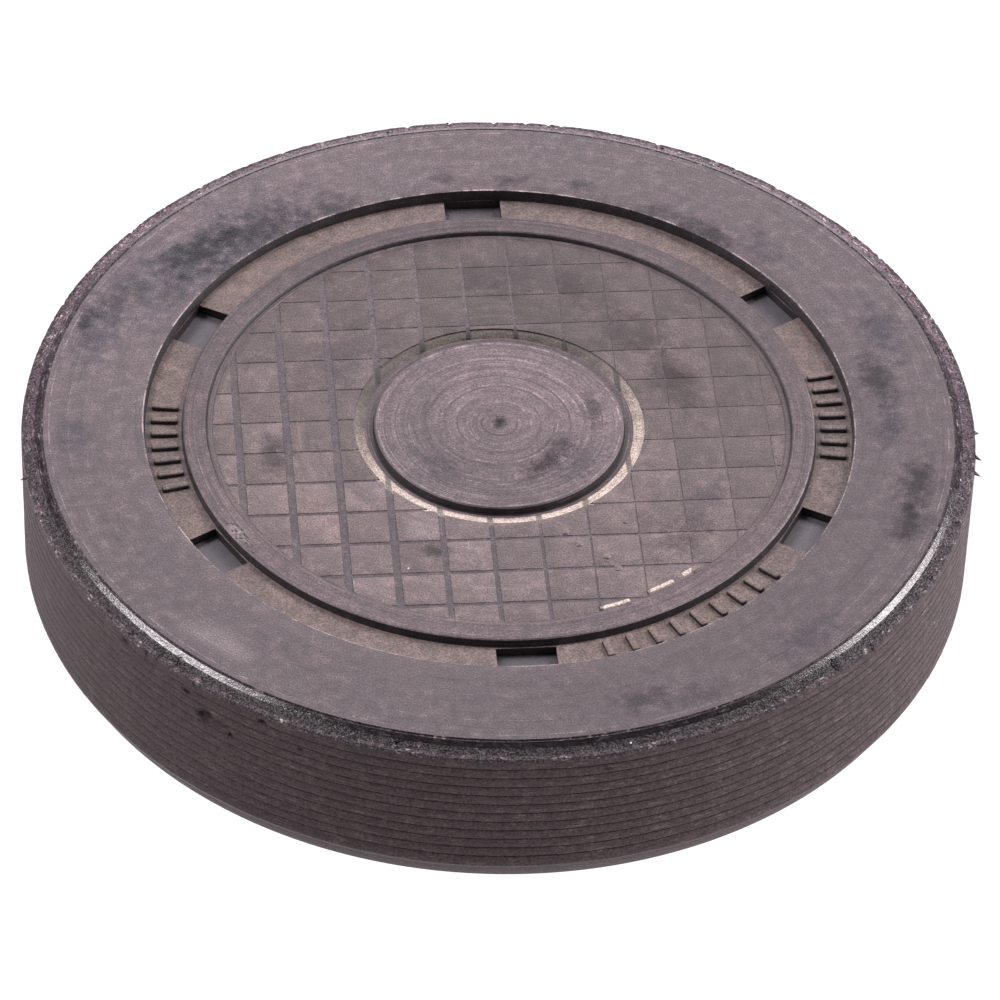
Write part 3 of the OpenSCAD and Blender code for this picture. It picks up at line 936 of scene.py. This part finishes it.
def channel_lines(sizes):
    """Every channel in the grid's own axes: its start and end, and its width at each of them."""
    reach = sizes.ring_inner_r
    lines = []
    for i in range(-7, 8):
        y = sizes.row_first + i * sizes.row_pitch
        worn = min(max((2 * MM - y) / (16 * MM), 0), 1)
        if abs(y) < reach:
            lines.append(((-reach, y), (reach, y), (0.12 + 0.26 * worn) * MM, (0.05 + 0.07 * worn) * MM))
        x = sizes.column_first + i * sizes.column_pitch
        worn = min(max((6 * MM - x) / (14 * MM), 0), 1)
        if abs(x) < reach:
            lines.append(((x, -reach), (x, reach), (0.1 + 0.42 * worn) * MM, (0.05 + 0.36 * worn) * MM))
    return lines


def cut_channel(start, end, width_start, width_end):
    """Cuts the sheet along both edges of a channel, and returns the edges as (point, normal) pairs."""
    along = (end - start).normalized()
    across = Vector((-along.y, along.x, 0))
    edges = []
    for side in (-1, 1):
        a = start + across * side * width_start / 2
        b = end + across * side * width_end / 2
        line = (b - a).normalized()
        normal = Vector((-line.y, line.x, 0))
        bpy.ops.mesh.select_all(action="SELECT")
        bpy.ops.mesh.bisect(plane_co=a, plane_no=normal, threshold=WELD)
        edges.append((a, normal))
    return edges


def delete_faces(piece, unwanted):
    """Deletes the faces that unwanted(face) picks, and stays in edit mode."""
    bpy.ops.mesh.select_mode(type="FACE")
    bpy.ops.mesh.select_all(action="DESELECT")
    bpy.ops.object.mode_set(mode="OBJECT")
    for face in piece.data.polygons:
        face.select = unwanted(face)
    bpy.ops.object.mode_set(mode="EDIT")
    bpy.ops.mesh.delete(type="FACE")


class ENDCAP_OT_tiles(bpy.types.Operator):
    """Cuts the panel's sheet into tiles, then thickens and rounds them."""

    bl_idname = "endcap.tiles"
    bl_label = "Panel tiles"

    def execute(self, context):
        sizes, colours = context.scene.end_cap_sizes, context.scene.end_cap_colours
        panel_z = sizes.height - sizes.panel_drop
        outer_r = sizes.ring_inner_r - sizes.draft - 0.3 * MM
        inner_r = sizes.gutter_r
        select()
        bpy.ops.mesh.primitive_circle_add(vertices=200, radius=outer_r, fill_type="NGON")
        piece = name_piece("panel_tiles")
        bpy.ops.object.mode_set(mode="EDIT")
        bpy.ops.transform.translate(value=(0, 0, panel_z))
        bpy.ops.mesh.inset(thickness=outer_r - inner_r)
        bpy.ops.mesh.delete(type="FACE")
        turn_grid = Matrix.Rotation(sizes.grid_turn, 3, "Z")
        channels = []
        for start, end, *widths in channel_lines(sizes):
            a = turn_grid @ Vector((*start, panel_z))
            b = turn_grid @ Vector((*end, panel_z))
            channels.append(cut_channel(a, b, *widths))

        def in_channel(face):
            sides = [[(face.center - point).dot(normal) for point, normal in edges] for edges in channels]
            return any(first > 0 > second for first, second in sides)

        delete_faces(piece, in_channel)
        bpy.ops.mesh.select_all(action="SELECT")
        bpy.ops.mesh.dissolve_limited(angle_limit=radians(0.6))
        delete_faces(piece, lambda face: face.area < 0.12 * MM * MM)
        bpy.ops.mesh.select_mode(type="VERT")
        weld()
        bpy.ops.object.mode_set(mode="OBJECT")
        for face in piece.data.polygons:
            if face.normal.z < 0:
                face.flip()
        apply_modifier(piece, "SOLIDIFY", thickness=0.3 * MM, offset=-1)
        apply_modifier(piece, "BEVEL", width=0.05 * MM, segments=2, limit_method="ANGLE", angle_limit=radians(40))
        piece.data.materials.append(tile_rubber(colours))
        finish_piece(piece, 25)
        return {"FINISHED"}


class ENDCAP_OT_marks(bpy.types.Operator):
    """Sets rows of plain rounded bars on the groove floor."""

    bl_idname = "endcap.marks"
    bl_label = "Plain raised marks"

    def execute(self, context):
        sizes, colours = context.scene.end_cap_sizes, context.scene.end_cap_colours
        middle = (sizes.groove_outer_r + sizes.ring_outer_r) / 2
        floor_z = sizes.height - sizes.groove_d
        width = 0.42 * MM
        height = 0.3 * MM
        sink = 0.1 * MM
        bars = []
        for centre, half, bar_length, step in MARK_ROWS:
            for i in range(-half, half + 1):
                select()
                bpy.ops.mesh.primitive_cube_add(size=1, location=(0, 0, 0))
                bar = name_piece("bar")
                bar.data.transform(Matrix.Diagonal((bar_length * MM, width, height + sink, 1)))
                bar.data.transform(Matrix.Translation((middle, 0, floor_z + (height - sink) / 2)))
                bar.data.transform(Matrix.Rotation(radians(centre + i * step), 4, "Z"))
                apply_modifier(bar, "BEVEL", width=0.13 * MM, segments=4, limit_method="NONE")
                bars.append(bar)
        join(bars)
        piece = name_piece("plain_marks")
        materials = {"floor": floor_rubber(colours), "wall": shaded_wall_rubber(colours)}
        # The bars' sides take the wall rubber's painted shade.
        paint_where(piece, materials, lambda r, z, normal: "floor" if normal.z > 0.3 else "wall")
        finish_piece(piece, 60)
        return {"FINISHED"}


def first_grain(name, size, place, scale):
    """Starts a piece made of many small grains, and enters edit mode so that the others join it."""
    select()
    bpy.ops.mesh.primitive_ico_sphere_add(subdivisions=2, radius=size, location=place, scale=scale)
    piece = name_piece(name)
    bpy.ops.object.transform_apply(location=True, rotation=True, scale=True)
    bpy.ops.object.mode_set(mode="EDIT")
    return piece


class ENDCAP_OT_crumbs(bpy.types.Operator):
    """Leaves whiskers and crumbs of flash along the trimmed edge."""

    bl_idname = "endcap.crumbs"
    bl_label = "Crumbs of flash"

    def execute(self, context):
        sizes = context.scene.end_cap_sizes
        chance = random.Random(23)
        trim_z = sizes.height - sizes.bevel_drop - sizes.trim_drop
        trim_r = sizes.outer_r - sizes.trim_w
        piece = first_grain("flash_crumbs", 0.1 * MM, (sizes.outer_r - 0.3 * MM, 0, trim_z), (1, 1, 0.5))
        for i in range(110):
            bearing = chance.uniform(0, 2 * pi)
            radius = trim_r + chance.choice((0.05, 0.1, 0.35, 0.5)) * MM + chance.uniform(-0.05, 0.05) * MM
            height = trim_z + (0.1 * MM if radius < trim_r + 0.2 * MM else 0)
            bpy.ops.mesh.primitive_ico_sphere_add(
                subdivisions=1, radius=chance.uniform(0.04, 0.11) * MM,
                location=around(radius, bearing, height),
                rotation=(chance.uniform(-0.5, 0.5), 0, bearing), scale=(0.7, chance.uniform(1, 2.2), 0.6))
        for turned, below, reach, droop in WHISKERS:
            bearing = radians(turned)
            radius = sizes.outer_r - 0.06 * MM + reach * MM / 2 * cos(radians(droop))
            height = trim_z - (below + reach / 2 * sin(radians(droop))) * MM
            bpy.ops.mesh.primitive_cone_add(
                vertices=7, radius1=0.14 * MM, radius2=0.015 * MM, depth=reach * MM,
                location=around(radius, bearing, height),
                rotation=(0, radians(90 + droop), bearing))
        close_mesh()
        piece.data.materials.append(cut_rubber(context.scene.end_cap_colours))
        finish_piece(piece, 50)
        return {"FINISHED"}


class ENDCAP_OT_flaws(bpy.types.Operator):
    """Adds the panel's moulding flaws: blisters, ridges of flash and a chipped patch on the ring."""

    bl_idname = "endcap.flaws"
    bl_label = "Moulding flaws"

    def execute(self, context):
        sizes, colours = context.scene.end_cap_sizes, context.scene.end_cap_colours
        chance = random.Random(7)
        panel_z = sizes.height - sizes.panel_drop
        ring_z = sizes.height - sizes.ring_drop
        piece = first_grain("moulding_flaws", 0.2 * MM, (7.6 * MM, -8.2 * MM, panel_z), (1, 1, 0.4))
        for x, y, radius in BLISTERS:
            bpy.ops.mesh.primitive_ico_sphere_add(
                subdivisions=3, radius=radius * MM, location=(x * MM, y * MM, panel_z), scale=(1, 1, 0.3))
        for i in range(26):
            radius = chance.uniform(18.0, 18.8) * MM
            bearing = radians(chance.gauss(215.5, 2.0))
            bpy.ops.mesh.primitive_ico_sphere_add(
                subdivisions=1, radius=chance.uniform(0.06, 0.15) * MM,
                location=around(radius, bearing, ring_z),
                rotation=(0, chance.uniform(-0.4, 0.4), bearing), scale=(0.8, 1.5, 0.7))
        close_mesh()
        piece.data.materials.append(flaw_rubber(colours))
        parts = [piece]
        for radius, start, end, height in RIDGES:
            low = panel_z - 0.03 * MM
            points = [((radius - 0.32) * MM, low), ((radius - 0.24) * MM, panel_z + height * MM),
                      (radius * MM, panel_z + height * MM), ((radius + 0.06) * MM, low)]
            ridge = draw_section("ridge", [*points, points[0]])
            weld()
            bpy.ops.mesh.spin(steps=16, angle=radians(end - start), **AXIS)
            bpy.ops.mesh.select_all(action="SELECT")
            bpy.ops.mesh.fill_holes(sides=4)
            close_mesh()
            ridge.data.transform(Matrix.Rotation(radians(end), 4, "Z"))
            # The ridges take the gutter's pale rubber, so they show as painted highlight arcs.
            ridge.data.materials.append(gutter_rubber(colours))
            parts.append(ridge)
        join(parts)
        finish_piece(piece, 50)
        return {"FINISHED"}


class ENDCAP_OT_steel(bpy.types.Operator):
    """Gives the pressed steel cup its phosphated finish."""

    bl_idname = "endcap.steel"
    bl_label = "Steel finish"

    def execute(self, context):
        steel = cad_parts["steel_insert"]
        finish = phosphated_steel(context.scene.end_cap_colours)
        for slot in steel.material_slots:
            slot.material = finish
        return {"FINISHED"}


class ENDCAP_OT_studio(bpy.types.Operator):
    """Sets the camera, the white light table and the soft lights."""

    bl_idname = "endcap.studio"
    bl_label = "Studio"

    def execute(self, context):
        studio, colours = context.scene.end_cap_studio, context.scene.end_cap_colours
        context.scene.view_settings.view_transform = "Standard"
        turned = Matrix.Rotation(pi / 2 - studio.elevation, 4, "X") @ Matrix.Rotation(studio.roll, 4, "Z")
        place = Vector(studio.aim) + turned.to_3x3() @ Vector((0, 0, studio.distance))
        bpy.ops.object.camera_add()
        camera = context.active_object
        camera.matrix_world = Matrix.Translation(place) @ turned
        camera.data.lens = studio.lens
        camera.data.sensor_width = 36
        camera.data.clip_start = 0.01
        context.scene.camera = camera

        select()
        bpy.ops.mesh.primitive_plane_add(size=4)
        floor = name_piece("light_table")
        # Opal glass lit from below: it stays white beside the dark rubber
        material, tree, shader, place = new_material("opal_glass_light_table", 0.9, 0.1)
        shader.inputs["Base Color"].default_value = (*colours.studio, 1)
        shader.inputs["Emission Color"].default_value = (*colours.light, 1)
        shader.inputs["Emission Strength"].default_value = 1.12
        floor.data.materials.append(material)

        world = bpy.data.worlds.new("studio_air")
        world.use_nodes = True
        air = world.node_tree.nodes["Background"]
        air.inputs["Color"].default_value = (*colours.light, 1)
        air.inputs["Strength"].default_value = 0.16
        context.scene.world = world
        # Name, place, size and power of each soft light, which all face the cap
        for name, spot_at, size, power in (
                ("low_back_softbox", (0.0, 0.75, 0.16), 0.55, 1.4),
                ("high_back_softbox", (0.0, 0.5, 0.55), 0.5, 1.2),
                ("upper_right_softbox", (0.43, 0.26, 0.5), 0.26, 3.4),
                ("upper_left_softbox", (-0.37, 0.125, 0.595), 0.26, 3.4),
                ("right_softbox", (0.6, 0.08, 0.2), 0.4, 4.3),
                ("left_softbox", (-0.6, 0.08, 0.2), 0.4, 3.0)):
            light = bpy.data.lights.new(name, "AREA")
            light.shape = "DISK"
            light.size = size
            light.energy = power
            light.color = colours.light
            lamp = bpy.data.objects.new(name, light)
            lamp.location = spot_at
            lamp.rotation_euler = (-Vector(spot_at)).to_track_quat("-Z", "Y").to_euler()
            context.collection.objects.link(lamp)
        return {"FINISHED"}


class ENDCAP_PT_panel(bpy.types.Panel):
    """Lists the end cap's operators and its sizes."""

    bl_idname = "ENDCAP_PT_panel"
    bl_label = "End cap"
    bl_space_type = "VIEW_3D"
    bl_region_type = "UI"
    bl_category = "End Cap"

    def draw(self, context):
        for operator in OPERATORS:
            self.layout.operator(operator.bl_idname)
        scene = context.scene
        for group in (scene.end_cap_sizes, scene.end_cap_colours, scene.end_cap_studio):
            for name in group.__annotations__:
                self.layout.prop(group, name)


OPERATORS = (ENDCAP_OT_studio, ENDCAP_OT_jacket, ENDCAP_OT_ring, ENDCAP_OT_plate, ENDCAP_OT_tiles,
             ENDCAP_OT_marks, ENDCAP_OT_crumbs, ENDCAP_OT_flaws, ENDCAP_OT_steel)
CLASSES = (CoverSizes, CoverColours, StudioSettings, *OPERATORS, ENDCAP_PT_panel)


def register():
    for cls in CLASSES:
        bpy.utils.register_class(cls)
    bpy.types.Scene.end_cap_sizes = PointerProperty(type=CoverSizes)
    bpy.types.Scene.end_cap_colours = PointerProperty(type=CoverColours)
    bpy.types.Scene.end_cap_studio = PointerProperty(type=StudioSettings)


def unregister():
    del bpy.types.Scene.end_cap_studio
    del bpy.types.Scene.end_cap_colours
    del bpy.types.Scene.end_cap_sizes
    for cls in reversed(CLASSES):
        bpy.utils.unregister_class(cls)


def main():
    """Builds everything in order."""
    register()
    bpy.ops.endcap.studio()
    bpy.ops.endcap.jacket()
    bpy.ops.endcap.ring()
    bpy.ops.endcap.plate()
    bpy.ops.endcap.tiles()
    bpy.ops.endcap.marks()
    bpy.ops.endcap.crumbs()
    bpy.ops.endcap.flaws()
    bpy.ops.endcap.steel()


if __name__ == "__main__":
    main()
